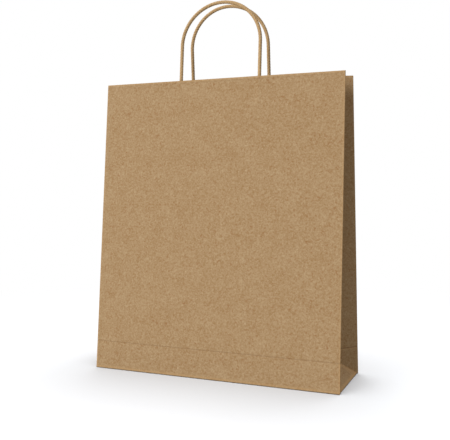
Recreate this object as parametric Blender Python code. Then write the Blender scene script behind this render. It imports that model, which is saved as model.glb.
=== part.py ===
# Brown kraft paper carrier bag, standing open, with two handles of twisted paper cord.
# Metres, +Z up. The origin is the centre of the base and the front panel faces -Y.

from math import asin, atan2, cos, hypot, pi, radians, sin, sqrt

import bmesh
import bpy

# The bag's folded sheet
BAG_WIDTH = 0.320
BASE_DEPTH = 0.100
MOUTH_DEPTH = 0.043
PANEL_HEIGHT = 0.370  # up the leaning panel, from the floor to the mouth
PAPER = 0.0002
FOLD_RADIUS = 0.0003  # inside the tightest fold
BASE_TRIANGLE_TILT = radians(46.4)  # the triangle at each end of the base, away from upright
HEM = 0.050  # paper turned in at the mouth
FLAP_DEPTH = 0.060  # each flap of the base, from its fold to its edge
FLAP_SETBACK = 0.0004  # where a flap turns under, from the outer face of its panel
SEAM_EDGE = 0.039  # the glued lengthwise seam, from the middle of the front panel
SEAM_WIDTH = 0.018
SEAM_STEP = 0.00018  # how far the pressed overlap stands in from the sheet

# The handles of twisted paper cord
CORD_DIAMETER = 0.0045
HANDLE_SPACING = 0.106  # between the middles of a handle's two legs
HANDLE_RISE = 0.098  # from the mouth to the middle of the cord at the top of the loop
GLUED_LENGTH = 0.038  # each cord end below the mouth
PRESSED_THICKNESS = 0.0032  # the cord ends are pressed flat where they are glued
PRESSED_WIDTH = 0.0056
STRANDS = 3
LAY = 0.0105  # length of one full twist
STRAND_RELIEF = 0.00022  # depth of the grooves between the strands

# The strips glued over the cord ends
PATCH_WIDTH = 0.170
PATCH_HEIGHT = 0.042
PATCH_DROP = 0.006  # from the mouth down to the patch
PATCH_PLIES = 2
PATCH_RAMP = 0.003  # width over which the strip climbs onto a cord end

GAP = 0.0003  # left free between pieces that touch
FOLD_STEPS = 2  # facets round each fold
GUSSET_STATIONS = 10  # heights at which the gussets' curve is drawn

LEAN = asin((BASE_DEPTH - MOUTH_DEPTH) / 2 / PANEL_HEIGHT)
BAG_HEIGHT = PANEL_HEIGHT * cos(LEAN)
HEM_THICKNESS = 2 * PAPER
OUTER_FOLD = FOLD_RADIUS + HEM_THICKNESS
CREASE_HEIGHT = BASE_DEPTH / 2 * cos(BASE_TRIANGLE_TILT)
CREASE_REACH = BASE_DEPTH / 2 * sin(BASE_TRIANGLE_TILT)
BASE_UNDERSIDE = 2 * PAPER  # the two flaps lie below it
BASE_TOP = 3 * PAPER
INSIDE_BASE = (BASE_UNDERSIDE + BASE_TOP) / 2  # where what is fused to the base ends, within its paper
CORNER_ROOM = 3 * OUTER_FOLD  # between a base corner and the foot of its gusset fold
HEM_FLOOR = BAG_HEIGHT - HEM * cos(LEAN)
FRONT = -1
BACK = 1


def clear_scene():
    for scene_object in list(bpy.data.objects):
        bpy.data.objects.remove(scene_object, do_unlink=True)


def make_material(name, colour, roughness):
    material = bpy.data.materials.new(name)
    material.use_nodes = True
    shader = material.node_tree.nodes["Principled BSDF"]
    shader.inputs["Base Color"].default_value = (*colour, 1.0)
    shader.inputs["Roughness"].default_value = roughness
    shader.inputs["Metallic"].default_value = 0.0
    return material


def make_object(name, mesh_edit, material=None, smooth_angle=radians(40)):
    bmesh.ops.recalc_face_normals(mesh_edit, faces=mesh_edit.faces)
    mesh = bpy.data.meshes.new(name)
    mesh_edit.to_mesh(mesh)
    mesh_edit.free()
    mesh.shade_smooth()
    mesh.set_sharp_from_angle(angle=smooth_angle)
    if material:
        mesh.materials.append(material)
    made = bpy.data.objects.new(name, mesh)
    bpy.context.scene.collection.objects.link(made)
    return made


def loft(mesh_edit, rings):
    """Join closed rings of equal length, and close both ends with strips from side to side."""
    loops = [[mesh_edit.verts.new(point) for point in ring] for ring in rings]
    count = len(loops[0])
    for lower, upper in zip(loops, loops[1:]):
        for i in range(count):
            j = (i + 1) % count
            mesh_edit.faces.new((lower[i], lower[j], upper[j], upper[i]))
    for end in (loops[0], loops[-1]):
        for i in range(count // 2 - 1):
            mesh_edit.faces.new((end[i], end[i + 1], end[-2 - i], end[-1 - i]))


def half_depth(z):
    """Half the bag's depth at a height, which shrinks evenly towards the mouth."""
    return (BASE_DEPTH + (MOUTH_DEPTH - BASE_DEPTH) * z / BAG_HEIGHT) / 2


def gusset_reach(z):
    """How far inside the bag's side the middle fold of a gusset lies at a height."""
    if z < CREASE_HEIGHT:
        return CREASE_REACH * z / CREASE_HEIGHT
    half_gusset = hypot(CREASE_REACH, half_depth(CREASE_HEIGHT))
    return sqrt(half_gusset ** 2 - half_depth(z) ** 2)


def folds_at(z):
    """The eight folds that a level cut through the bag meets, anticlockwise from above.

    Each is the centre and radius of its outer face, negative where the sheet folds inwards. Below
    the crease the two inward folds of a gusset are the slanting sides of its base triangle.
    """
    side = BAG_WIDTH / 2 - OUTER_FOLD
    depth = half_depth(z) - OUTER_FOLD
    middle = BAG_WIDTH / 2 - gusset_reach(z) + OUTER_FOLD
    risen = min(z / CREASE_HEIGHT, 1.0)
    triangle_side = BASE_DEPTH / 2 - CORNER_ROOM
    spread = triangle_side + (FOLD_RADIUS - triangle_side) * risen
    right = [(side, -depth, OUTER_FOLD), (middle, -spread, -OUTER_FOLD),
             (middle, spread, -OUTER_FOLD), (side, depth, OUTER_FOLD)]
    left = [(-x, y, radius) for x, y, radius in reversed(right)]
    return right + left


def face_angle(fold, next_fold):
    """The way that the flat paper between two folds faces."""
    across = next_fold[0] - fold[0]
    along = next_fold[1] - fold[1]
    lean = asin((fold[2] - next_fold[2]) / hypot(across, along))
    return atan2(-across, along) + lean


def sheet_ring(z, inset):
    """Points round the sheet at a height, set in from its outer face, with rounded folds."""
    folds = folds_at(z)
    angles = [face_angle(fold, folds[(i + 1) % len(folds)]) for i, fold in enumerate(folds)]
    points = []
    for i, (x, y, radius) in enumerate(folds):
        turn = (angles[i] - angles[i - 1] + pi) % (2 * pi) - pi
        for step in range(FOLD_STEPS + 1):
            angle = angles[i - 1] + turn * step / FOLD_STEPS
            points.append((x + (radius - inset) * cos(angle), y + (radius - inset) * sin(angle), z))
    return points


def panel_point(side, x, rise, depth):
    """A place on a panel: across it, above the mouth along its slope, and in from its outer face."""
    y = MOUTH_DEPTH / 2 - rise * sin(LEAN) - depth * cos(LEAN)
    z = BAG_HEIGHT + rise * cos(LEAN) - depth * sin(LEAN)
    return (x, side * y, z)


def make_addition(name, rings):
    """A closed shape that is fused to the sheet and isn't a piece of its own."""
    mesh_edit = bmesh.new()
    loft(mesh_edit, rings)
    addition = make_object(name, mesh_edit)
    addition.hide_render = True
    addition.display_type = "WIRE"
    return addition


def base_flap(name, side, underside):
    """A flap of the base: a strip from its panel's fold, with its ends cut at 45 degrees."""
    fold_x = BAG_WIDTH / 2 - FLAP_SETBACK
    fold_y = BASE_DEPTH / 2 - FLAP_SETBACK
    edge_x = BAG_WIDTH / 2 - FLAP_DEPTH
    edge_y = BASE_DEPTH / 2 - FLAP_DEPTH
    outline = [(-fold_x, fold_y), (fold_x, fold_y), (edge_x, edge_y), (-edge_x, edge_y)]
    return make_addition(name, [[(x, side * y, z) for x, y in outline] for z in (underside, INSIDE_BASE)])


def seam_overlap():
    """The glued overlap behind the front panel, from the base up to the hem."""
    top = -HEM + GAP
    bottom = -PANEL_HEIGHT + INSIDE_BASE
    outer = PAPER / 2
    inner = PAPER + SEAM_STEP
    ends = []
    for rise in (bottom, top):
        ends.append([panel_point(FRONT, SEAM_EDGE, rise, outer),
                     panel_point(FRONT, SEAM_EDGE + SEAM_WIDTH, rise, outer),
                     panel_point(FRONT, SEAM_EDGE + SEAM_WIDTH, rise, inner),
                     panel_point(FRONT, SEAM_EDGE, rise, inner)])
    return make_addition("seam_overlap", ends)


def make_bag_body(material):
    """The folded sheet: up its outer face, over the rim and down its inner face to the floor.

    Both faces are split along the same short diagonals, so that they stay one paper apart.
    """
    span = BAG_HEIGHT - CREASE_HEIGHT
    stations = [CREASE_HEIGHT + span * i / GUSSET_STATIONS for i in range(GUSSET_STATIONS + 1)]
    below_hem = [z for z in stations if z < HEM_FLOOR - PAPER]
    in_hem = [z for z in stations if z > HEM_FLOOR + PAPER]
    outer = [BASE_UNDERSIDE, *below_hem, HEM_FLOOR, *in_hem]
    rings = [sheet_ring(z, 0.0) for z in outer]
    rings += [sheet_ring(z, HEM_THICKNESS) for z in [*reversed(in_hem), HEM_FLOOR]]
    rings += [sheet_ring(z, PAPER) for z in [HEM_FLOOR, *reversed(below_hem), BASE_TOP]]
    mesh_edit = bmesh.new()
    loft(mesh_edit, rings)
    bmesh.ops.triangulate(mesh_edit, faces=mesh_edit.faces, quad_method="SHORT_EDGE")
    body = make_object("bag_body", mesh_edit, material)
    additions = [base_flap("inner_flap", FRONT, PAPER), base_flap("outer_flap", BACK, 0.0), seam_overlap()]
    for addition in additions:
        union = body.modifiers.new(addition.name, "BOOLEAN")
        union.operation = "UNION"
        union.solver = "EXACT"
        union.object = addition
    return body


def handle_station(distance):
    """Across, above the mouth, and heading of the cord's middle at a distance along it."""
    radius = HANDLE_SPACING / 2
    leg = GLUED_LENGTH + HANDLE_RISE - radius
    loop = pi * radius
    if distance < leg:
        return -radius, distance - GLUED_LENGTH, pi / 2
    if distance > leg + loop:
        return radius, HANDLE_RISE - radius - (distance - leg - loop), -pi / 2
    angle = pi - (distance - leg) / radius
    return radius * cos(angle), HANDLE_RISE - radius + radius * sin(angle), angle - pi / 2


def pressed_share(rise):
    """0 where the cord is round, 1 where it is pressed flat under the patch."""
    share = min(max(-rise / PATCH_DROP, 0.0), 1.0)
    return share * share * (3 - 2 * share)


def make_handle(name, side, material):
    radius = HANDLE_SPACING / 2
    length = 2 * (GLUED_LENGTH + HANDLE_RISE - radius) + pi * radius
    points_round = 2 * STRANDS
    stations = round(length / LAY * points_round)
    rings = []
    for i in range(stations + 1):
        distance = length * i / stations
        x, rise, heading = handle_station(distance)
        pressed = pressed_share(rise)
        half_thickness = (CORD_DIAMETER + (PRESSED_THICKNESS - CORD_DIAMETER) * pressed) / 2
        half_width = (CORD_DIAMETER + (PRESSED_WIDTH - CORD_DIAMETER) * pressed) / 2
        ring = []
        for k in range(points_round):
            angle = 2 * pi * (k / points_round + distance / LAY)
            height = 1 - (2 * STRAND_RELIEF / CORD_DIAMETER if k % 2 else 0.0)
            out = half_width * height * cos(angle)
            depth = HEM_THICKNESS + GAP + half_thickness * (1 + height * sin(angle))
            ring.append(panel_point(side, x + out * sin(heading), rise - out * cos(heading), depth))
        rings.append(ring)
    mesh_edit = bmesh.new()
    loft(mesh_edit, rings)
    return make_object(name, mesh_edit, material, smooth_angle=radians(75))


def make_patch(name, side, material):
    """A strip that lies on the hem and rises over each cord end."""
    flat = HEM_THICKNESS + GAP
    raised = flat + PRESSED_THICKNESS + GAP
    channel = PRESSED_WIDTH / 2 + GAP
    leg = HANDLE_SPACING / 2
    one_side = [(leg - channel - PATCH_RAMP, flat), (leg - channel, raised),
                (leg + channel, raised), (leg + channel + PATCH_RAMP, flat),
                (PATCH_WIDTH / 2, flat)]
    under = [(-x, depth) for x, depth in reversed(one_side)] + one_side
    over = [(x, depth + PATCH_PLIES * PAPER) for x, depth in reversed(under)]
    ends = []
    for rise in (-PATCH_DROP - PATCH_HEIGHT, -PATCH_DROP):
        ends.append([panel_point(side, x, rise, depth) for x, depth in under + over])
    mesh_edit = bmesh.new()
    loft(mesh_edit, ends)
    return make_object(name, mesh_edit, material)


clear_scene()
make_bag_body(make_material("kraft_paper", (0.429, 0.274, 0.141), 0.88))
for panel, side in (("front", FRONT), ("back", BACK)):
    cord_material = make_material(panel + "_twisted_paper_cord", (0.440, 0.288, 0.152), 0.80)
    patch_material = make_material(panel + "_patch_paper", (0.400, 0.255, 0.130), 0.90)
    make_handle(panel + "_handle", side, cord_material)
    make_patch(panel + "_handle_patch", side, patch_material)
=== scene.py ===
from math import asin, atan2, cos, hypot, pi, radians, sin, sqrt

import bmesh
import bpy
import numpy as np
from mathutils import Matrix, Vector


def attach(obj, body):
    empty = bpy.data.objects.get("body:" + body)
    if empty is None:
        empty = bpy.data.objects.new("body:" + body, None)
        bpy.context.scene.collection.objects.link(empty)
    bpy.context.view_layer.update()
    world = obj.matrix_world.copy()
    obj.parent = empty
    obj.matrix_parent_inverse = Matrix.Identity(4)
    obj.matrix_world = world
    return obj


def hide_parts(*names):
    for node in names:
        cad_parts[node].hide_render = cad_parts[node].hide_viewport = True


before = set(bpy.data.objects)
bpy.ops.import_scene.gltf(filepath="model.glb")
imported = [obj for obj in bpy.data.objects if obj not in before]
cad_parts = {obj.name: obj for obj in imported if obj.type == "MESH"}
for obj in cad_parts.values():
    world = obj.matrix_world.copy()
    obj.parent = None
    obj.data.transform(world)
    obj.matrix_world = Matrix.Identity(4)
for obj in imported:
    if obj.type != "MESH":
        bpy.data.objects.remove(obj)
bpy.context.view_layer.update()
print("frame loaded")


# Colours are written as sRGB hex values.
def paint(hexCode):
    channels = [int(hexCode[i:i + 2], 16) / 255 for i in (1, 3, 5)]
    return (*[c / 12.92 if c <= 0.04045 else ((c + 0.055) / 1.055) ** 2.4 for c in channels], 1.0)


# Adds a node, sets its properties, and fills its inputs with values or links.
def addNode(tree, kind, inputs=None, **settings):
    node = tree.nodes.new(kind)
    for name, value in settings.items():
        setattr(node, name, value)
    for slot, value in (inputs or {}).items():
        if isinstance(value, bpy.types.Node):
            value = value.outputs[0]
        if isinstance(value, bpy.types.NodeSocket):
            tree.links.new(value, node.inputs[slot])
        else:
            node.inputs[slot].default_value = value
    return node


def newMaterial(name):
    material = bpy.data.materials.new(name)
    material.use_nodes = True
    material.node_tree.nodes.clear()
    return material, material.node_tree


def newPiece(name, mesh):
    piece = bpy.data.objects.new(name, mesh)
    bpy.context.scene.collection.objects.link(piece)
    return piece


# Swaps an object's modifiers for the mesh that they make.
def bakeModifiers(piece):
    evaluated = piece.evaluated_get(bpy.context.evaluated_depsgraph_get())
    mesh = bpy.data.meshes.new_from_object(evaluated)
    piece.modifiers.clear()
    piece.data = mesh


# Camera: the photograph's view, fitted to the corners of the bag.
view = {
    "place": (0.33858, -0.82061, 0.23329),
    "turn": radians(22.4263),
    "lens": 55.69,  # mm, on a sensor 36 mm wide
    "shiftY": -0.0730,
}
cameraData = bpy.data.cameras.new("photoCamera")
cameraData.lens = view["lens"]
cameraData.sensor_width = 36.0
cameraData.shift_y = view["shiftY"]
camera = newPiece("photoCamera", cameraData)
camera.location = view["place"]
camera.rotation_euler = (pi / 2, 0, view["turn"])
bpy.context.scene.camera = camera
print("camera placed")


# The bag: one folded sheet of paper, with all its sizes in metres.
bag = {
    "width": 0.320,
    "baseDepth": 0.100,
    "mouthDepth": 0.043,
    "panelHeight": 0.370,  # up the leaning panel, from the floor to the mouth
    "paper": 0.0002,
    "insideFold": 0.0003,  # radius inside the tightest fold
    "triangleTilt": radians(46.4),  # of the triangle at each end of the base, away from upright
    "hem": 0.050,
    "seamPly": 0.9,  # of the paper's thickness, how far the seam's second layer stands in
    "flapDepth": 0.060,
    "baseRound": 0.0005,  # where the panels turn into the base
    "baseFacets": 2,
    "cell": 0.0045,  # faces on the flat paper
    "foldFacets": 6,
}
marks = {
    "seam": 0.039,  # edge of the glued lengthwise seam, from the middle of the front panel
    "seamWidth": 0.018,
    "seamRidge": 0.00010,
    "seamRidgeWidth": 0.0008,
    "seamFadeFrom": 0.10,  # height above which its ridge grows fainter
    "seamFadeRun": 0.11,
    "seamFadeShare": 0.85,
    "seamFoot": 0.02,
    "cordEnd": 0.053,  # middle of each glued cord end
    "cordEndHalfWidth": 0.0036,
    "cordEndLength": 0.038,
    "cordEndRidge": 0.00022,
    "cordEndLead": 0.006,  # how far below the cord's end its ridge starts
    "cordEndTaper": 0.008,
    "creaseGroove": 0.00018,
    "creaseWidth": 0.0005,
    "creaseBulge": 0.00025,
    "bulgeAbove": 0.07,  # height over which the bulge at the crease dies out
    "bulgeFromFold": 0.02,
    "wave": 0.00008,
    "calmFold": 0.035,  # the waves grow calm this near to a fold, the floor and the mouth
    "calmFoot": 0.030,
    "calmMouth": 0.060,
    "calmMouthShare": 0.7,
    "edgeDip": 0.00012,  # a shallow dip beside the front panel's left edge
    "edgeDipPlace": -0.149,
    "edgeDipWidth": 0.006,
    "edgeDipFoot": 0.05,
    "nicks": (-0.011, 0.046),  # small dents in the front bottom edge
    "nickDepth": 0.00025,
    "nickWidth": 0.0006,
    "nickHeight": 0.004,
}
# The paper's slow waves: share, length across, length up, phase, and how the phase shifts by panel.
waves = ((0.50, 0.131, 0.213, 1.3, 1), (0.30, 0.083, -0.117, 4.0, 0), (0.20, 0.310, 0.071, 0.4, -2))
# Painted highlight where the folds, rim and foot catch the light and below the gusset crease, partly real
# rubbing at the folds and foot, with a real scuff at the nick: shares of full strength.
highlightsAndWear = {
    "fold": 0.55,
    "lowFold": 0.90,  # below the crease
    "foldWidth": 0.0010,
    "rim": 0.55,
    "rimDrop": 0.0014,
    "rimRun": 0.0012,
    "foot": 0.85,
    "footOnGusset": 0.6,  # more there by this share
    "footHeight": 0.0022,
    "footWidth": 0.0009,
    "crease": 0.8,  # on the gussets, just below the crease
    "creaseDrop": 0.0012,
    "creaseWidth": 0.0006,
    "nick": 1.1,
    "nickHeight": 0.0045,
}
# Painted shade: a dark line in the crease and below the rim, and a painted contact shadow at the foot.
paintedShades = {
    "crease": 0.8,
    "creaseOnGusset": 0.9,  # added there
    "creaseWidth": 0.0006,
    "rim": 0.35,
    "rimDrop": 0.0033,
    "rimWidth": 0.0006,
    "foot": 1.3,
    "footHeight": 0.0003,
    "footRun": 0.0007,
}
lean = asin((bag["baseDepth"] - bag["mouthDepth"]) / 2 / bag["panelHeight"])
bagHeight = bag["panelHeight"] * cos(lean)
hemPaper = 2 * bag["paper"]
glueGap = 0.0003  # between pieces, where the real ones have glue
outerFold = bag["insideFold"] + hemPaper
creaseHeight = bag["baseDepth"] / 2 * cos(bag["triangleTilt"])
creaseReach = bag["baseDepth"] / 2 * sin(bag["triangleTilt"])
baseUnder = 2 * bag["paper"]  # the two flaps lie below it
baseTop = 3 * bag["paper"]
hemFloor = bagHeight - bag["hem"] * cos(lean)
panelReach = bag["width"] / 2 - outerFold
rimRound = hemPaper / 2
footHeight = baseUnder + bag["baseRound"]
baseMiddle = (bag["width"] - bag["baseDepth"]) / 2  # half the ridge line to which the base's rows run
flapOverlap = bag["flapDepth"] - bag["baseDepth"] / 2  # how far each flap passes the middle of the base
tiny = 1e-6
sharpAngle = radians(50)  # edges that turn by more than this show as edges


def halfDepth(z):
    return (bag["baseDepth"] + (bag["mouthDepth"] - bag["baseDepth"]) * z / bagHeight) / 2


# How far inside the bag's side the middle fold of a gusset lies.
def gussetReach(z):
    if z < creaseHeight:
        return creaseReach * z / creaseHeight
    return sqrt(creaseReach ** 2 + halfDepth(creaseHeight) ** 2 - halfDepth(z) ** 2)


# The eight folds at a height, anticlockwise from above: centre and radius, which is negative where the
# paper folds inwards.
def foldsAt(z):
    depth = halfDepth(z) - outerFold
    middle = bag["width"] / 2 - gussetReach(z) + outerFold
    triangleSide = bag["baseDepth"] / 2 - 3 * outerFold
    across = triangleSide + (bag["insideFold"] - triangleSide) * min(z / creaseHeight, 1.0)
    right = [(panelReach, -depth, outerFold), (middle, -across, -outerFold),
             (middle, across, -outerFold), (panelReach, depth, outerFold)]
    return right + [(-x, y, radius) for x, y, radius in reversed(right)]


def faceAngle(fold, nextFold):
    across = nextFold[0] - fold[0]
    along = nextFold[1] - fold[1]
    return atan2(-across, along) + asin((fold[2] - nextFold[2]) / hypot(across, along))


leastStep = 0.0002
crowding = 0.35  # share of a cell within which an extra place takes the place of a plain one


# Places from start to stop, a cell apart, with the given extra places and none crowding those.
def placesBetween(start, stop, cell, extras):
    kept = sorted(extras)
    kept = [place for i, place in enumerate(kept) if i == 0 or place - kept[i - 1] > leastStep]
    count = round((stop - start) / cell)
    grid = [start + (stop - start) * i / count for i in range(1, count)]
    clear = [place for place in grid if min(abs(place - extra) for extra in kept) > cell * crowding]
    return sorted(kept + clear)


def nearEnds(start, stop, distances):
    return [start + d for d in distances] + [stop - d for d in distances]


def around(centre, distances):
    return [centre + d for d in distances]


# Columns close together beside the folds, at the seam, at the cord ends and at the nicks.
foldSteps = (0.0004, 0.0009, 0.0016, 0.0027)
seamSteps = (-0.0014, -0.0007, 0, 0.0007, 0.0014)
seamEndSteps = (-0.0003, 0.0003)
cordSteps = [step * marks["cordEndHalfWidth"] / 3 for step in range(-3, 4)]
nickSteps = [step * marks["nickWidth"] for step in range(-2, 3)]
panelPlaces = nearEnds(-panelReach, panelReach, foldSteps)
panelPlaces += around(marks["seam"], seamSteps)
panelPlaces += around(marks["seam"] + marks["seamWidth"], seamEndSteps)
for side in (-1, 1):
    panelPlaces += around(side * marks["cordEnd"], cordSteps)
for nick in marks["nicks"]:
    panelPlaces += around(nick, nickSteps)
panelPlaces = placesBetween(-panelReach, panelReach, bag["cell"], panelPlaces)
gussetLength = hypot(creaseReach, halfDepth(creaseHeight))
gussetPlaces = placesBetween(0, gussetLength, bag["cell"], nearEnds(0, gussetLength, foldSteps))
gussetShares = [place / gussetLength for place in gussetPlaces]
triangleShares = (0.2, 0.4, 0.6, 0.8)
frontShares = [(x + panelReach) / 2 / panelReach for x in panelPlaces]
backShares = [1 - share for share in reversed(frontShares)]
flatShares = [gussetShares, triangleShares, gussetShares, backShares] * 2
flatShares[7] = frontShares
flatSides = (0, 0, 0, 1, 0, 0, 0, -1)  # -1 on the front panel, 1 on the back panel

# Heights under the base: its own sheet at the ends, then the inner flap, then the outer flap. At the
# middle of each corner fold a column is repeated at each height, so that the flaps' cut ends are steps.
endLevel, innerLevel, outerLevel = 2 * bag["paper"], bag["paper"], 0.0
cornerLevels = {0: (innerLevel, endLevel), 3: (endLevel, innerLevel, outerLevel),
                4: (outerLevel, innerLevel, endLevel), 7: (endLevel, innerLevel)}
flatLevels = (endLevel, endLevel, endLevel, outerLevel, endLevel, endLevel, endLevel, innerLevel)
middleFacet = bag["foldFacets"] // 2


def columnLevels():
    levels, doubled = [], []
    for i in range(8):
        corner = cornerLevels.get(i, (endLevel,))
        for step in range(bag["foldFacets"] + 1):
            if step == middleFacet:
                levels += corner
                doubled += [len(corner) > 1] * len(corner)
            else:
                levels.append(corner[0] if step < middleFacet else corner[-1])
                doubled.append(False)
        levels += [flatLevels[i]] * len(flatShares[i])
        doubled += [False] * len(flatShares[i])
    return np.array(levels), np.array(doubled)


# One level cut: place, outward direction, distance from the nearest fold, and panel, for each column.
def sheetRing(z):
    folds = foldsAt(z)
    angles = [faceAngle(fold, folds[(i + 1) % 8]) for i, fold in enumerate(folds)]
    columns = []
    for i, (x, y, radius) in enumerate(folds):
        turn = (angles[i] - angles[i - 1] + pi) % (2 * pi) - pi
        for step in range(bag["foldFacets"] + 1):
            angle = angles[i - 1] + turn * step / bag["foldFacets"]
            outX, outY = cos(angle), sin(angle)
            repeats = len(cornerLevels.get(i, (0,))) if step == middleFacet else 1
            columns += [(x + radius * outX, y + radius * outY, outX, outY, 0, 0)] * repeats
        nextX, nextY, nextRadius = folds[(i + 1) % 8]
        faceX, faceY = cos(angles[i]), sin(angles[i])
        startX, startY = x + radius * faceX, y + radius * faceY
        endX, endY = nextX + nextRadius * faceX, nextY + nextRadius * faceY
        length = hypot(endX - startX, endY - startY)
        for share in flatShares[i]:
            columns.append((startX + (endX - startX) * share, startY + (endY - startY) * share,
                            faceX, faceY, min(share, 1 - share) * length, flatSides[i]))
    return np.array(columns)


def smooth(value):
    value = np.clip(value, 0, 1)
    return value * value * (3 - 2 * value)


def ridge(distance, width):
    return np.exp(-(distance / width) ** 2)


# How far the paper stands out from its flat place: slow waves, and what lies behind it showing through.
def paperRelief(ring, z):
    x, fromFold, panel = ring[:, 0], ring[:, 4], ring[:, 5]
    front = panel < 0
    onPanel = panel != 0
    wave = sum(share * np.sin(2 * pi * (x / across + z / up) + phase + shift * panel)
               for share, across, up, phase, shift in waves)
    nearMouth = smooth((z - bagHeight + marks["calmMouth"]) / marks["calmMouth"])
    still = smooth(fromFold / marks["calmFold"]) * smooth(z / marks["calmFoot"])
    out = marks["wave"] * wave * (still * (1 - marks["calmMouthShare"] * nearMouth))
    above = z - creaseHeight
    bulge = smooth(z / creaseHeight) if above < 0 else 1 - smooth(above / marks["bulgeAbove"])
    out += marks["creaseBulge"] * bulge * smooth(fromFold / marks["bulgeFromFold"]) * onPanel
    out -= marks["creaseGroove"] * ridge(above, marks["creaseWidth"])
    fromCordEnd = z - bagHeight + marks["cordEndLength"] + marks["cordEndLead"]
    cordRun = smooth(fromCordEnd / marks["cordEndTaper"])
    fromCord = np.abs(np.abs(x) - marks["cordEnd"]) / marks["cordEndHalfWidth"]
    out += marks["cordEndRidge"] * cordRun * onPanel * np.cos(pi / 2 * np.clip(fromCord, 0, 1)) ** 2
    faded = 1 - marks["seamFadeShare"] * smooth((z - marks["seamFadeFrom"]) / marks["seamFadeRun"])
    seamHere = faded * smooth(z / marks["seamFoot"]) * front
    out += marks["seamRidge"] * seamHere * ridge(x - marks["seam"], marks["seamRidgeWidth"])
    dipHere = front * smooth(z / marks["edgeDipFoot"])
    out -= marks["edgeDip"] * dipHere * ridge(x - marks["edgeDipPlace"], marks["edgeDipWidth"])
    for nick in marks["nicks"]:
        nickHere = front * max(0, 1 - z / marks["nickHeight"])
        out -= marks["nickDepth"] * nickHere * ridge(x - nick, marks["nickWidth"])
    return out


# How far the paper is painted paler: a painted highlight at folds, rim, foot and crease, partly real
# rubbing at the folds and foot, and a real scuff at the left nick.
def highlightAndWearOf(ring, level):
    onGusset = ring[:, 5] == 0
    onFront = ring[:, 5] < 0
    rim = highlightsAndWear["rim"] * float(1 - smooth((bagHeight - level - highlightsAndWear["rimDrop"]) / highlightsAndWear["rimRun"]))
    foot = highlightsAndWear["foot"] * float(ridge(level - highlightsAndWear["footHeight"], highlightsAndWear["footWidth"]))
    foot = foot * (1 + highlightsAndWear["footOnGusset"] * onGusset)
    fromCrease = level - creaseHeight + highlightsAndWear["creaseDrop"]
    crease = highlightsAndWear["crease"] * float(ridge(fromCrease, highlightsAndWear["creaseWidth"])) * onGusset
    foldShare = highlightsAndWear["lowFold"] if level < creaseHeight else highlightsAndWear["fold"]
    fold = foldShare * ridge(ring[:, 4], highlightsAndWear["foldWidth"])
    nick = onFront * ridge(ring[:, 0] - marks["nicks"][0], marks["nickWidth"])
    nick = nick * max(0.0, 1 - level / highlightsAndWear["nickHeight"])
    return np.maximum(fold, np.maximum(np.maximum(rim, foot), crease)) + highlightsAndWear["nick"] * nick


# How dark the paper is painted: painted shade along the crease and under the rim, and a painted contact
# shadow where it meets the floor.
def shadeOf(ring, level):
    onGusset = ring[:, 5] == 0
    shade = (paintedShades["crease"] + paintedShades["creaseOnGusset"] * onGusset)
    shade = shade * float(ridge(level - creaseHeight, paintedShades["creaseWidth"]))
    belowRim = bagHeight - level - paintedShades["rimDrop"]
    shade += paintedShades["rim"] * float(ridge(belowRim, paintedShades["rimWidth"]))
    aboveFloor = smooth((level - paintedShades["footHeight"]) / paintedShades["footRun"])
    return shade + paintedShades["foot"] * float(1 - aboveFloor)


def seamPly(ring):
    x, front = ring[:, 0], ring[:, 5] < 0
    inSeam = (x > marks["seam"]) & (x < marks["seam"] + marks["seamWidth"])
    return np.where(front & inSeam, bag["paper"] * bag["seamPly"], 0)


# Rows close together where the paper is creased, at its foot and below its rim.
creaseSteps = (-0.0022, -0.0012, -0.0007, -0.00035, 0, 0.00035, 0.0007, 0.0012, 0.0022)
footSteps = (0, 0.0005, 0.0011, 0.0019, 0.0030)
rimSteps = (-0.0007, -0.0013, -0.0020, -0.0026, -0.0031, -0.0036, -0.0044)
rimTurns = (45, 90, 135)  # degrees, over the rim
underShares = (0, 0.3, 0.6, 0.8, 0.92, 0.98)  # of the way from the middle of the base out to its edge
insideShares = (0.02, 0.08, 0.2, 0.4, 0.7, 1.0)  # of the way back in, over the base


def wallHeights():
    extras = around(creaseHeight, creaseSteps) + around(footHeight, footSteps) + around(bagHeight, rimSteps)
    extras += [hemFloor, bagHeight - rimRound]
    return placesBetween(footHeight, bagHeight - rimRound, bag["cell"], extras)


# Under the base: from the ridge line in the middle, over the edge of the outer flap, out to the folds.
def underRows(ring, levels, doubled):
    x = ring[:, 0] - bag["baseRound"] * ring[:, 2]
    y = ring[:, 1] - bag["baseRound"] * ring[:, 3]
    middleX = np.clip(x, -baseMiddle, baseMiddle)
    inner = levels == innerLevel
    stepY = np.where(inner & (y < 0), -np.minimum(flapOverlap, baseMiddle - np.abs(middleX)), 0)
    lowest = np.where(inner & ~doubled, outerLevel, levels)
    rows = [(middleX, 0 * y, lowest), (middleX, stepY, lowest)]
    for share in underShares:
        rows.append((middleX + (x - middleX) * share, stepY + (y - stepY) * share, levels))
    return [np.stack(row, 1) for row in rows]


def turnsUnder(count):
    return [radians(90 * (i + 1) / (count + 1)) for i in range(count)]
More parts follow.
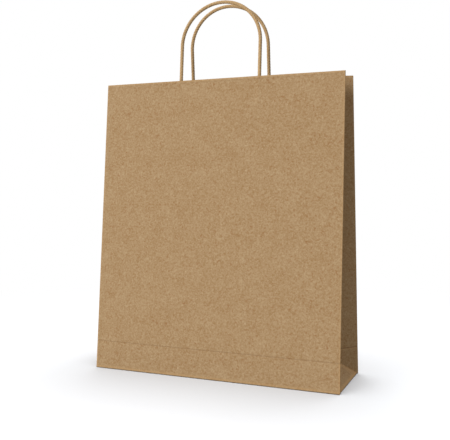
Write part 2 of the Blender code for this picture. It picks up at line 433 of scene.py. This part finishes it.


# Rows of the whole shell: under the base, up the outer face, over the rim, down the inner face and over
# the base, each with its painted highlight and wear and its painted shade.
def sheetRows():
    levels, doubled = columnLevels()
    rows, highlightAndWear, shade = [], [], []

    def add(z, lift, inset, extraInset=0):
        ring = sheetRing(z)
        out = paperRelief(ring, z) - inset - extraInset
        rows.append(np.stack([ring[:, 0] + out * ring[:, 2], ring[:, 1] + out * ring[:, 3], z + lift], 1))
        level = z + np.mean(lift)
        highlightAndWear.append(highlightAndWearOf(ring, level))
        shade.append(shadeOf(ring, level))

    foot = sheetRing(footHeight)
    flat = np.zeros(len(foot))
    for row in underRows(foot, levels, doubled):
        rows.append(row)
        highlightAndWear.append(flat)
        shade.append(flat)
    for turn in [pi / 2] + turnsUnder(bag["baseFacets"])[::-1]:
        add(footHeight, (levels - footHeight) * sin(turn), bag["baseRound"] * (1 - cos(turn)))
    heights = wallHeights()
    for z in heights:
        add(z, flat, 0)
    for turn in rimTurns:
        lift = rimRound * sin(radians(turn))
        add(bagHeight - rimRound, flat + lift, rimRound * (1 - cos(radians(turn))))
    for z in reversed(heights):
        if z > hemFloor - tiny:
            add(z, flat, hemPaper)
    for z in reversed(heights):
        if z < hemFloor + tiny:
            add(z, flat, bag["paper"], seamPly(sheetRing(z)))
    insideRound = bag["baseRound"] - bag["paper"]
    for turn in turnsUnder(bag["baseFacets"]) + [pi / 2]:
        add(footHeight, flat + (baseTop - footHeight) * sin(turn),
            bag["paper"] + insideRound * (1 - cos(turn)), seamPly(foot) * cos(turn))
    edgeX, edgeY, edgeZ = rows[-1].T
    middleX = np.clip(edgeX, -baseMiddle, baseMiddle)
    for share in insideShares:
        rows.append(np.stack([edgeX + (middleX - edgeX) * share, edgeY * (1 - share), edgeZ], 1))
        highlightAndWear.append(flat)
        shade.append(flat)
    return rows, highlightAndWear, shade


def buildBag():
    rows, highlightAndWear, shade = sheetRows()
    count = len(rows[0])
    faces = []
    for row in range(len(rows) - 1):
        low, high = row * count, (row + 1) * count
        faces += [(low + i, low + (i + 1) % count, high + (i + 1) % count, high + i) for i in range(count)]
    mesh = bpy.data.meshes.new("paperSheet")
    mesh.from_pydata(np.concatenate(rows).tolist(), [], faces)
    # painted highlight (with some real wear) and painted shade, stored on the points
    for name, values in (("foldHighlightAndWear", highlightAndWear), ("creaseShade", shade)):
        mesh.attributes.new(name, "FLOAT", "POINT").data.foreach_set("value", np.concatenate(values))
    edit = bmesh.new()
    edit.from_mesh(mesh)
    bmesh.ops.remove_doubles(edit, verts=edit.verts, dist=tiny)
    edit.to_mesh(mesh)
    edit.free()
    mesh.shade_smooth()
    mesh.set_sharp_from_angle(angle=sharpAngle)
    return newPiece("paper_bag", mesh)


# Unbleached kraft paper, machine made: a matt brown sheet, mottled by its fibres, with soft clouds where it
# was laid thicker; a painted highlight on its folds, rim and foot, partly real rubbing; painted shade in
# its crease, under its rim and along its foot.
kraft = {
    "dark": "#A17D52",
    "light": "#BFA37E",
    "warmFleck": "#9C7046",
    "warmShare": 0.75,
    "paleFleck": "#CDB590",
    "paleShare": 0.60,
    # painted highlight, partly real rubbing, and the real scuff at the nick
    "highlightAndWear": "#CFA673",
    "highlightAndWearShare": 0.50,
    # painted shade: the crease, the line under the rim and the contact shadow at the foot
    "crease": "#7E5E3E",
    "paintedShadeShare": 0.38,
    "mottleSize": 0.0021,  # metres, clumps of fibre, as coarse as they need to be to show
    "cloudSize": 0.018,
    "cloudDepth": 0.09,
    "fleckSize": 0.0030,
    "paleFineness": 1.3,  # the pale flecks are smaller by this
    "fibreSize": 0.0006,
    "reliefDepth": 0.00008,
}


def kraftPaper(name, tint=1.0):
    material, tree = newMaterial(name)
    place = addNode(tree, "ShaderNodeTexCoord").outputs["Object"]
    mottle = addNode(tree, "ShaderNodeTexNoise", {"Vector": place, "Scale": 1 / kraft["mottleSize"],
                                                  "Detail": 3.0, "Roughness": 0.6, "Distortion": 0.6})
    cloud = addNode(tree, "ShaderNodeTexNoise", {"Vector": place, "Scale": 1 / kraft["cloudSize"],
                                                 "Detail": 3.0})
    fibre = addNode(tree, "ShaderNodeTexNoise", {"Vector": place, "Scale": 1 / kraft["fibreSize"],
                                                 "Detail": 2.0})
    clouded = addNode(tree, "ShaderNodeMapRange", {"Value": cloud, "From Min": 0.3, "From Max": 0.7,
                                                   "To Min": -kraft["cloudDepth"],
                                                   "To Max": kraft["cloudDepth"]})
    mottled = addNode(tree, "ShaderNodeMapRange", {"Value": mottle, "From Min": 0.28, "From Max": 0.72})
    both = addNode(tree, "ShaderNodeMath", {0: mottled, 1: clouded}, operation="ADD", use_clamp=True)
    body = addNode(tree, "ShaderNodeMix", {0: both, 6: paint(kraft["dark"]), 7: paint(kraft["light"])},
                   data_type="RGBA")

    # flecks: bits of bark and of paler fibre, each in a noise that is moved off the others
    shifted = addNode(tree, "ShaderNodeVectorMath", {0: place, 1: (0.37, 0.11, 0.53)}, operation="ADD")
    warm = addNode(tree, "ShaderNodeTexNoise", {"Vector": shifted, "Scale": 1 / kraft["fleckSize"],
                                                "Detail": 2.0})
    warmHere = addNode(tree, "ShaderNodeMapRange", {"Value": warm, "From Min": 0.58, "From Max": 0.74,
                                                    "To Max": kraft["warmShare"]})
    warmed = addNode(tree, "ShaderNodeMix", {0: warmHere, 6: body.outputs[2], 7: paint(kraft["warmFleck"])},
                     data_type="RGBA")
    turned = addNode(tree, "ShaderNodeVectorMath", {0: place, 1: (-0.71, 0.29, 0.17)}, operation="ADD")
    paleScale = kraft["paleFineness"] / kraft["fleckSize"]
    pale = addNode(tree, "ShaderNodeTexNoise", {"Vector": turned, "Scale": paleScale, "Detail": 2.0})
    paleHere = addNode(tree, "ShaderNodeMapRange", {"Value": pale, "From Min": 0.64, "From Max": 0.76,
                                                    "To Max": kraft["paleShare"]})
    flecked = addNode(tree, "ShaderNodeMix",
                      {0: paleHere, 6: warmed.outputs[2], 7: paint(kraft["paleFleck"])}, data_type="RGBA")

    # the mesh says where the painted highlight (with some real wear) and where the painted shade lie
    highlightAndWearFac = addNode(tree, "ShaderNodeAttribute", attribute_name="foldHighlightAndWear").outputs["Fac"]
    highlightAndWearHere = addNode(tree, "ShaderNodeMath", {0: highlightAndWearFac, 1: kraft["highlightAndWearShare"]}, operation="MULTIPLY")
    highlightedAndWorn = addNode(tree, "ShaderNodeMix", {0: highlightAndWearHere, 6: flecked.outputs[2], 7: paint(kraft["highlightAndWear"])},
                     data_type="RGBA")
    pressed = addNode(tree, "ShaderNodeAttribute", attribute_name="creaseShade").outputs["Fac"]
    paintedShadeHere = addNode(tree, "ShaderNodeMath", {0: pressed, 1: kraft["paintedShadeShare"]},
                          operation="MULTIPLY")
    colour = addNode(tree, "ShaderNodeMix",
                     {0: paintedShadeHere, 6: highlightedAndWorn.outputs[2], 7: paint(kraft["crease"])}, data_type="RGBA")
    tinted = addNode(tree, "ShaderNodeHueSaturation", {"Color": colour.outputs[2], "Value": tint})
    rough = addNode(tree, "ShaderNodeMapRange", {"Value": mottle, "From Min": 0.3, "From Max": 0.7,
                                                 "To Min": 0.82, "To Max": 0.92})
    height = addNode(tree, "ShaderNodeMath", {0: mottle, 1: fibre}, operation="ADD")
    bump = addNode(tree, "ShaderNodeBump", {"Height": height, "Strength": 0.30,
                                            "Distance": kraft["reliefDepth"]})
    shader = addNode(tree, "ShaderNodeBsdfPrincipled", {"Base Color": tinted, "Roughness": rough,
                                                        "Normal": bump, "IOR": 1.45,
                                                        "Specular IOR Level": 0.25})
    addNode(tree, "ShaderNodeOutputMaterial", {"Surface": shader})
    return material


paperBag = buildBag()
paperBag.data.materials.append(kraftPaper("unbleachedKraftPaper"))
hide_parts("bag_body")
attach(paperBag, "root")
print("bag folded:", len(paperBag.data.polygons), "faces")


# Handles: paper twisted to a cord, bent to a U and pressed flat where it is glued.
cord = {
    "Leg Spacing": 0.106,
    "Rise": 0.098,
    "Glued Length": 0.038,
    "Diameter": 0.0045,
    "Pressed Thickness": 0.0032,
    "Pressed Width": 0.0056,
    "Press Run": 0.006,
    "Strands": 3.0,
    "Lay": 0.0105,  # one full twist
    "Groove": 0.00020,
    "Depth In Bag": hemPaper + glueGap,
    "Path Points": 700,
    "Round Points": 36,
    "Lean": lean,
    "Half Mouth": bag["mouthDepth"] / 2,
    "Bag Height": bagHeight,
}


def buildCordTree():
    tree = bpy.data.node_groups.new("twistedPaperCord", "GeometryNodeTree")
    for name, value in cord.items():
        kind = "NodeSocketInt" if isinstance(value, int) else "NodeSocketFloat"
        tree.interface.new_socket(name, in_out="INPUT", socket_type=kind).default_value = value
    tree.interface.new_socket("Half Turn", in_out="INPUT", socket_type="NodeSocketFloat")
    tree.interface.new_socket("Paper", in_out="INPUT", socket_type="NodeSocketMaterial")
    tree.interface.new_socket("Cord", in_out="OUTPUT", socket_type="NodeSocketGeometry")
    given = addNode(tree, "NodeGroupInput").outputs

    # the path: up one leg, round the half circle, down the other leg
    radius = addNode(tree, "ShaderNodeMath", {0: given["Leg Spacing"], 1: 0.5}, operation="MULTIPLY")
    above = addNode(tree, "ShaderNodeMath", {0: given["Rise"], 1: radius}, operation="SUBTRACT")
    leg = addNode(tree, "ShaderNodeMath", {0: given["Glued Length"], 1: above}, operation="ADD")
    loop = addNode(tree, "ShaderNodeMath", {0: radius, 1: pi}, operation="MULTIPLY")
    length = addNode(tree, "ShaderNodeMath", {0: leg, 1: 2.0, 2: loop}, operation="MULTIPLY_ADD")
    last = addNode(tree, "ShaderNodeMath", {0: given["Path Points"], 1: 1.0}, operation="SUBTRACT")
    step = addNode(tree, "ShaderNodeMath", {0: length, 1: last}, operation="DIVIDE")
    index = addNode(tree, "GeometryNodeInputIndex")
    along = addNode(tree, "ShaderNodeMath", {0: index, 1: step}, operation="MULTIPLY")
    pastLeg = addNode(tree, "ShaderNodeMath", {0: along, 1: leg}, operation="SUBTRACT")
    turned = addNode(tree, "ShaderNodeMath", {0: pastLeg, 1: radius}, operation="DIVIDE")
    angle = addNode(tree, "ShaderNodeClamp", {"Value": turned, "Min": 0.0, "Max": pi})
    cosine = addNode(tree, "ShaderNodeMath", {0: angle}, operation="COSINE")
    sine = addNode(tree, "ShaderNodeMath", {0: angle}, operation="SINE")
    across = addNode(tree, "ShaderNodeMath", {0: cosine, 1: radius}, operation="MULTIPLY")
    pathX = addNode(tree, "ShaderNodeMath", {0: across, 1: -1.0}, operation="MULTIPLY")
    upLeg = addNode(tree, "ShaderNodeMath", {0: along, 1: leg}, operation="MINIMUM")
    arched = addNode(tree, "ShaderNodeMath", {0: sine, 1: radius, 2: upLeg}, operation="MULTIPLY_ADD")
    pastLoop = addNode(tree, "ShaderNodeMath", {0: pastLeg, 1: loop}, operation="SUBTRACT")
    downLeg = addNode(tree, "ShaderNodeMath", {0: pastLoop, 1: 0.0}, operation="MAXIMUM")
    highest = addNode(tree, "ShaderNodeMath", {0: arched, 1: downLeg}, operation="SUBTRACT")
    pathZ = addNode(tree, "ShaderNodeMath", {0: highest, 1: given["Glued Length"]}, operation="SUBTRACT")
    half = addNode(tree, "ShaderNodeMath", {0: given["Diameter"], 1: 0.5}, operation="MULTIPLY")
    pathPlace = addNode(tree, "ShaderNodeCombineXYZ", {"X": pathX, "Y": half, "Z": pathZ})
    line = addNode(tree, "GeometryNodeCurvePrimitiveLine", {"End": (0.0, 0.0, 1.0)})
    many = addNode(tree, "GeometryNodeResampleCurve", {"Curve": line, "Count": given["Path Points"]},
                   mode="COUNT")
    path = addNode(tree, "GeometryNodeSetPosition", {"Geometry": many, "Position": pathPlace})
    marked = addNode(tree, "GeometryNodeStoreNamedAttribute",
                     {"Geometry": path, "Name": "alongCord", "Value": along},
                     data_type="FLOAT", domain="POINT")
    twists = addNode(tree, "ShaderNodeMath", {0: along, 1: given["Lay"]}, operation="DIVIDE")
    tilt = addNode(tree, "ShaderNodeMath", {0: twists, 1: 2 * pi}, operation="MULTIPLY")
    twisted = addNode(tree, "GeometryNodeSetCurveTilt", {"Curve": marked, "Tilt": tilt})

    # the section: round strands side by side, with a sharp groove between each two
    circle = addNode(tree, "GeometryNodeCurvePrimitiveCircle",
                     {"Resolution": given["Round Points"], "Radius": 1.0}, mode="RADIUS")
    unit = addNode(tree, "GeometryNodeInputPosition")
    roundPlace = addNode(tree, "GeometryNodeStoreNamedAttribute",
                         {"Geometry": circle, "Name": "roundCord", "Value": unit},
                         data_type="FLOAT_VECTOR", domain="POINT")
    share = addNode(tree, "ShaderNodeMath", {0: index, 1: given["Round Points"]}, operation="DIVIDE")
    strandTurn = addNode(tree, "ShaderNodeMath", {0: share, 1: given["Strands"]}, operation="MULTIPLY")
    halfTurn = addNode(tree, "ShaderNodeMath", {0: strandTurn, 1: pi}, operation="MULTIPLY")
    strandCosine = addNode(tree, "ShaderNodeMath", {0: halfTurn}, operation="COSINE")
    crest = addNode(tree, "ShaderNodeMath", {0: strandCosine}, operation="ABSOLUTE")
    groove = addNode(tree, "ShaderNodeMath", {0: 1.0, 1: crest}, operation="SUBTRACT")
    sunk = addNode(tree, "ShaderNodeMath", {0: groove, 1: given["Groove"]}, operation="MULTIPLY")
    size = addNode(tree, "ShaderNodeMath", {0: half, 1: sunk}, operation="SUBTRACT")
    sectionPlace = addNode(tree, "ShaderNodeVectorMath", {0: unit, "Scale": size}, operation="SCALE")
    grooved = addNode(tree, "GeometryNodeStoreNamedAttribute",
                      {"Geometry": roundPlace, "Name": "strandGroove", "Value": groove},
                      data_type="FLOAT", domain="POINT")
    section = addNode(tree, "GeometryNodeSetPosition", {"Geometry": grooved, "Position": sectionPlace})
    tube = addNode(tree, "GeometryNodeCurveToMesh",
                   {"Curve": twisted, "Profile Curve": section, "Fill Caps": True})

    # the glued ends: pressed flat against the hem, and wider
    placed = addNode(tree, "GeometryNodeInputPosition")
    parts = addNode(tree, "ShaderNodeSeparateXYZ", {"Vector": placed}).outputs
    run = addNode(tree, "ShaderNodeMath", {0: given["Press Run"], 1: -1.0}, operation="MULTIPLY")
    pressed = addNode(tree, "ShaderNodeMapRange", {"Value": parts["Z"], "From Min": 0.0, "From Max": run},
                      interpolation_type="SMOOTHSTEP")
    thin = addNode(tree, "ShaderNodeMath", {0: given["Pressed Thickness"], 1: given["Diameter"]},
                   operation="DIVIDE")
    wide = addNode(tree, "ShaderNodeMath", {0: given["Pressed Width"], 1: given["Diameter"]},
                   operation="DIVIDE")
    thinHere = addNode(tree, "ShaderNodeMix", {0: pressed, 2: 1.0, 3: thin})
    wideHere = addNode(tree, "ShaderNodeMix", {0: pressed, 2: 1.0, 3: wide})
    side = addNode(tree, "ShaderNodeMath", {0: parts["X"]}, operation="SIGN")
    middle = addNode(tree, "ShaderNodeMath", {0: side, 1: radius}, operation="MULTIPLY")
    offset = addNode(tree, "ShaderNodeMath", {0: parts["X"], 1: middle}, operation="SUBTRACT")
    newX = addNode(tree, "ShaderNodeMath", {0: offset, 1: wideHere, 2: middle}, operation="MULTIPLY_ADD")
    newY = addNode(tree, "ShaderNodeMath", {0: parts["Y"], 1: thinHere, 2: given["Depth In Bag"]},
                   operation="MULTIPLY_ADD")
    newPlace = addNode(tree, "ShaderNodeCombineXYZ", {"X": newX, "Y": newY, "Z": parts["Z"]})
    flat = addNode(tree, "GeometryNodeSetPosition", {"Geometry": tube, "Position": newPlace})

    # onto its panel, and round to the back panel for the back handle
    leanBack = addNode(tree, "ShaderNodeMath", {0: given["Lean"], 1: -1.0}, operation="MULTIPLY")
    leanTurn = addNode(tree, "ShaderNodeCombineXYZ", {"X": leanBack})
    leanRotation = addNode(tree, "FunctionNodeEulerToRotation", {0: leanTurn})
    forward = addNode(tree, "ShaderNodeMath", {0: given["Half Mouth"], 1: -1.0}, operation="MULTIPLY")
    mouth = addNode(tree, "ShaderNodeCombineXYZ", {"Y": forward, "Z": given["Bag Height"]})
    onPanel = addNode(tree, "GeometryNodeTransform",
                      {"Geometry": flat, "Translation": mouth, "Rotation": leanRotation})
    about = addNode(tree, "ShaderNodeCombineXYZ", {"Z": given["Half Turn"]})
    aboutRotation = addNode(tree, "FunctionNodeEulerToRotation", {0: about})
    turnedRound = addNode(tree, "GeometryNodeTransform", {"Geometry": onPanel, "Rotation": aboutRotation})
    shaded = addNode(tree, "GeometryNodeSetShadeSmooth", {"Geometry": turnedRound})
    real = addNode(tree, "GeometryNodeRealizeInstances", {"Geometry": shaded})
    finished = addNode(tree, "GeometryNodeSetMaterial", {"Geometry": real, "Material": given["Paper"]})
    addNode(tree, "NodeGroupOutput", {0: finished})
    return tree


# Kraft paper ribbon twisted to a hard cord: paler on its strands, rougher in the grooves and darkened there
# by painted shade.
twist = {
    "dark": "#AE8B60",
    "light": "#C7A97D",
    # painted shade down in the grooves between the strands
    "groove": "#A28159",
    "grooveShadeShare": 0.65,
    "streakAcross": 0.0006,  # metres, wrinkles in the twisted ribbon
    "streakAlong": 0.006,
    "reliefDepth": 0.00015,
}


def twistedPaper(name):
    material, tree = newMaterial(name)
    along = addNode(tree, "ShaderNodeAttribute", attribute_name="alongCord").outputs["Fac"]
    around = addNode(tree, "ShaderNodeAttribute", attribute_name="roundCord").outputs["Vector"]
    groove = addNode(tree, "ShaderNodeAttribute", attribute_name="strandGroove").outputs["Fac"]
    ringed = addNode(tree, "ShaderNodeVectorMath",
                     {0: around, "Scale": cord["Diameter"] / 2 / twist["streakAcross"]}, operation="SCALE")
    stretched = addNode(tree, "ShaderNodeMath", {0: along, 1: 1 / twist["streakAlong"]},
                        operation="MULTIPLY")
    lifted = addNode(tree, "ShaderNodeCombineXYZ", {"Z": stretched})
    place = addNode(tree, "ShaderNodeVectorMath", {0: ringed, 1: lifted}, operation="ADD")
    streak = addNode(tree, "ShaderNodeTexNoise", {"Vector": place, "Scale": 1.0, "Detail": 3.0,
                                                  "Roughness": 0.6})
    where = addNode(tree, "ShaderNodeTexCoord").outputs["Object"]
    mottle = addNode(tree, "ShaderNodeTexNoise", {"Vector": where, "Scale": 1 / kraft["mottleSize"],
                                                  "Detail": 3.0})
    mixed = addNode(tree, "ShaderNodeMath", {0: streak, 1: mottle}, operation="ADD")
    share = addNode(tree, "ShaderNodeMapRange", {"Value": mixed, "From Min": 0.75, "From Max": 1.25})
    body = addNode(tree, "ShaderNodeMix", {0: share, 6: paint(twist["dark"]), 7: paint(twist["light"])},
                   data_type="RGBA")
    # painted shade, deepest at the bottom of each groove
    grooveShade = addNode(tree, "ShaderNodeMapRange", {"Value": groove, "From Min": 0.35, "From Max": 1.0,
                                                "To Max": twist["grooveShadeShare"]})
    colour = addNode(tree, "ShaderNodeMix", {0: grooveShade, 6: body.outputs[2], 7: paint(twist["groove"])},
                     data_type="RGBA")
    bump = addNode(tree, "ShaderNodeBump", {"Height": streak, "Strength": 0.35,
                                            "Distance": twist["reliefDepth"]})
    rough = addNode(tree, "ShaderNodeMapRange", {"Value": streak, "From Min": 0.3, "From Max": 0.7,
                                                 "To Min": 0.74, "To Max": 0.88})
    shader = addNode(tree, "ShaderNodeBsdfPrincipled", {"Base Color": colour.outputs[2], "Roughness": rough,
                                                        "Normal": bump, "IOR": 1.45,
                                                        "Specular IOR Level": 0.3})
    addNode(tree, "ShaderNodeOutputMaterial", {"Surface": shader})
    return material


cordTree = buildCordTree()
cordPaper = twistedPaper("twistedKraftPaperCord")
handles = []
for panel, halfTurn in (("front", 0.0), ("back", pi)):
    handle = newPiece(panel + "_cord_handle", bpy.data.meshes.new(panel + "Cord"))
    nodes = handle.modifiers.new("twistedPaperCord", "NODES")
    nodes.node_group = cordTree
    inputs = [item for item in cordTree.interface.items_tree if item.in_out == "INPUT"]
    sockets = {item.name: item.identifier for item in inputs}
    for name, value in {**cord, "Half Turn": halfTurn, "Paper": cordPaper}.items():
        nodes[sockets[name]] = value
    bakeModifiers(handle)
    handles.append(handle)
    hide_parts(panel + "_handle")
    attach(handle, "root")
    print(panel, "handle twisted:", len(handle.data.polygons), "faces")


# Patches: strips of folded kraft glued over the ends of each handle.
patch = {
    "width": 0.170,
    "height": 0.042,
    "drop": 0.006,  # from the mouth down to its upper, folded edge
    "plies": 2,
    "foldFlat": 0.15,  # how blunt the folded upper edge is
    "ramp": 0.0040,  # over which the strip climbs onto a cord end
    "closeLead": 0.009,  # the strip closes this far below the cord's end
    "closeRun": 0.008,
    "wave": 0.00012,
    "waveAcross": 0.037,
    "waveUp": 0.029,
    "calmEnd": 0.01,
    "fineStep": 0.0009,  # between columns beside a cord end
    "fineSteps": 9,
    "lowSteps": (0, 0.0004),
    "highSteps": (-0.0006, -0.0002, 0),
    "tint": 0.96,
}


def buildPatch(name, side):
    thick = patch["plies"] * bag["paper"]
    flat = hemPaper + glueGap
    climb = cord["Pressed Thickness"] + glueGap
    channel = cord["Pressed Width"] / 2 + glueGap
    reach = patch["width"] / 2
    extras = [-reach, reach]
    fineSteps = [step * patch["fineStep"] for step in range(-patch["fineSteps"], patch["fineSteps"] + 1)]
    for cordSide in (-1, 1):
        extras += around(cordSide * marks["cordEnd"], fineSteps)
    columns = placesBetween(-reach, reach, bag["cell"], extras)
    top, bottom = -patch["drop"], -patch["drop"] - patch["height"]
    edges = around(bottom, patch["lowSteps"]) + around(top, patch["highSteps"])
    rises = placesBetween(bottom, top, bag["cell"], edges)
    x = np.array(columns)
    rings = []
    for rise in rises:
        covers = smooth((rise + cord["Glued Length"] + patch["closeLead"]) / patch["closeRun"])
        beside = np.clip((np.abs(np.abs(x) - marks["cordEnd"]) - channel) / patch["ramp"], 0, 1)
        wave = np.sin(2 * pi * (x / patch["waveAcross"] + rise / patch["waveUp"]) + side)
        wave = patch["wave"] * wave * smooth((reach - np.abs(x)) / patch["calmEnd"])
        depth = flat + climb * (1 - smooth(beside)) * covers + patch["wave"] + wave
        fromEdge = max(0.0, 1 - (top - rise) / (thick / 2))
        half = thick / 2 * sqrt(max(patch["foldFlat"], 1 - fromEdge ** 2))
        rings.append((rise, depth + thick / 2 - half, depth + thick / 2 + half))
    points, faces = [], []
    for rise, outer, inner in rings:
        for depth in (outer, inner):
            y = bag["mouthDepth"] / 2 - rise * sin(lean) - depth * cos(lean)
            z = bagHeight + rise * cos(lean) - depth * sin(lean)
            points.append(np.stack([x, side * y, z], 1))
    count = len(columns)
    for row in range(len(rings) - 1):
        for layer in (0, 1):
            low, high = (2 * row + layer) * count, (2 * row + 2 + layer) * count
            faces += [(low + i, low + i + 1, high + i + 1, high + i) for i in range(count - 1)]
        for end in (0, count - 1):
            a, b = 2 * row * count + end, (2 * row + 1) * count + end
            faces.append((a, b, b + 2 * count, a + 2 * count))
    for row in (0, len(rings) - 1):
        a, b = 2 * row * count, (2 * row + 1) * count
        faces += [(a + i, a + i + 1, b + i + 1, b + i) for i in range(count - 1)]
    mesh = bpy.data.meshes.new(name)
    mesh.from_pydata(np.concatenate(points).tolist(), [], faces)
    edit = bmesh.new()
    edit.from_mesh(mesh)
    bmesh.ops.recalc_face_normals(edit, faces=edit.faces)
    edit.to_mesh(mesh)
    edit.free()
    mesh.shade_smooth()
    mesh.set_sharp_from_angle(angle=sharpAngle)
    return newPiece(name, mesh)


# Folded kraft strip: the same paper from another roll, a shade darker.
patchPaper = kraftPaper("foldedKraftStrip", patch["tint"])
for panel, side in (("front", -1), ("back", 1)):
    strip = buildPatch(panel + "_glued_patch", side)
    strip.data.materials.append(patchPaper)
    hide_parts(panel + "_handle_patch")
    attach(strip, "root")
    print(panel, "patch laid:", len(strip.data.polygons), "faces")


# Floor, lamps and background.
studio = {
    "floorSize": 14.0,
    "floorDrop": 0.0001,  # below the bag
    "floorColour": "#B2B3B5",
    "bounceColour": "#605E5A",  # what the floor sends back up into the bag
    "shadowReach": (0.45, 0.80),  # radius over which the floor turns to plain white
    "floorLevel": 2.4,
    "floorAway": 3.2,
    "floorLampSize": (1.7, 3.0),  # narrower along the bag's width, where its shadow is shorter
    "ambient": 0.40,
    "keyLevel": 0.78,
    "keyTurn": radians(38),  # to the left of the front panel's middle
    "keyRise": radians(23),
    "keyAway": 8.0,
    "keySize": 3.2,
    "topLevel": 0.40,
    "topAway": 3.2,
    "topSize": 3.0,
    "cordLevel": 0.38,  # a low lamp for the cords alone, which the front panel keeps off the far one's foot
    "cordPlace": (0.03, -0.28, 0.02),
    "cordAim": (0.0, 0.0, 0.41),
    "cordSize": 0.15,
    "backLevel": 0.26,  # keeps the back panel from sinking into shade
    "backPlace": (-1.3, 3.4, 1.3),
    "backSize": 2.0,
}


# A soft lamp. Its level is the brightness that it gives a white surface facing it where it is aimed.
def softLamp(name, level, place, size, depth=None, aim=(0.0, 0.0, 0.0)):
    lampData = bpy.data.lights.new(name, "AREA")
    lampData.shape = "RECTANGLE"
    lampData.size = size
    lampData.size_y = depth or size
    away = Vector(place) - Vector(aim)
    lampData.energy = level * pi * pi * away.length_squared
    lamp = newPiece(name, lampData)
    lamp.location = place
    lamp.rotation_euler = away.to_track_quat("Z", "Y").to_euler()
    return lamp


# One where the camera sees the surface, also by way of a gloss or through something clear.
def backgroundShare(tree):
    path = addNode(tree, "ShaderNodeLightPath").outputs
    seen = addNode(tree, "ShaderNodeMath", {0: path["Is Camera Ray"], 1: path["Is Glossy Ray"]},
                   operation="MAXIMUM")
    return addNode(tree, "ShaderNodeMath", {0: seen, 1: path["Is Transmission Ray"]}, operation="MAXIMUM")


floorMesh = bpy.data.meshes.new("studioFloor")
floorHalf = studio["floorSize"] / 2
floorCorners = [(sideX * floorHalf, sideY * floorHalf, -studio["floorDrop"])
                for sideX, sideY in ((-1, -1), (1, -1), (1, 1), (-1, 1))]
floorMesh.from_pydata(floorCorners, [], [(0, 1, 2, 3)])
floor = newPiece("studioFloor", floorMesh)

# Matt white studio paper: it shows the bag's soft shadow, and turns to plain white away from it.
floorPaper, tree = newMaterial("mattWhiteStudioPaper")
place = addNode(tree, "ShaderNodeTexCoord").outputs["Object"]
away = addNode(tree, "ShaderNodeVectorMath", {0: place}, operation="LENGTH").outputs["Value"]
nearest, farthest = studio["shadowReach"]
fade = addNode(tree, "ShaderNodeMapRange", {"Value": away, "From Min": nearest, "From Max": farthest},
               interpolation_type="SMOOTHSTEP")
matt = addNode(tree, "ShaderNodeBsdfDiffuse", {"Color": paint(studio["floorColour"])})
plain = addNode(tree, "ShaderNodeEmission", {"Color": paint("#FFFFFF"), "Strength": 1.0})
shown = addNode(tree, "ShaderNodeMixShader", {0: fade, 1: matt, 2: plain})
bounce = addNode(tree, "ShaderNodeBsdfDiffuse", {"Color": paint(studio["bounceColour"])})
surface = addNode(tree, "ShaderNodeMixShader", {0: backgroundShare(tree), 1: bounce, 2: shown})
addNode(tree, "ShaderNodeOutputMaterial", {"Surface": surface})
floorMesh.materials.append(floorPaper)

world = bpy.data.worlds.new("studioWorld")
world.use_nodes = True
tree = world.node_tree
tree.nodes.clear()
ambient = addNode(tree, "ShaderNodeBackground", {"Color": paint("#FFFFFF"), "Strength": studio["ambient"]})
white = addNode(tree, "ShaderNodeBackground", {"Color": paint("#FFFFFF"), "Strength": 1.0})
sky = addNode(tree, "ShaderNodeMixShader", {0: backgroundShare(tree), 1: ambient, 2: white})
addNode(tree, "ShaderNodeOutputWorld", {"Surface": sky})
bpy.context.scene.world = world

keyFlat = studio["keyAway"] * cos(studio["keyRise"])
keyPlace = (-keyFlat * sin(studio["keyTurn"]), -keyFlat * cos(studio["keyTurn"]),
            studio["keyAway"] * sin(studio["keyRise"]))
keyLamp = softLamp("keyLamp", studio["keyLevel"], keyPlace, studio["keySize"])
topLamp = softLamp("topLamp", studio["topLevel"], (0.0, 0.0, studio["topAway"]), studio["topSize"])
backLamp = softLamp("backLamp", studio["backLevel"], studio["backPlace"], studio["backSize"])
cordLamp = softLamp("cordLamp", studio["cordLevel"], studio["cordPlace"], studio["cordSize"],
                    aim=studio["cordAim"])
floorLamp = softLamp("floorLamp", studio["floorLevel"], (0.0, 0.0, studio["floorAway"]),
                     *studio["floorLampSize"])

# The floor has a lamp of its own, overhead, for a close soft shadow. The other lamps leave it out.
allButFloor = bpy.data.collections.new("allButFloor")
allButFloor.objects.link(floor)
allButFloor.collection_objects[0].light_linking.link_state = "EXCLUDE"
onlyFloor = bpy.data.collections.new("onlyFloor")
onlyFloor.objects.link(floor)
for lamp in (keyLamp, topLamp, backLamp):
    lamp.light_linking.receiver_collection = allButFloor
floorLamp.light_linking.receiver_collection = onlyFloor
onlyCords = bpy.data.collections.new("onlyCords")
for handle in handles:
    onlyCords.objects.link(handle)
cordLamp.light_linking.receiver_collection = onlyCords
bpy.context.scene.view_settings.view_transform = "Standard"
print("studio lit")
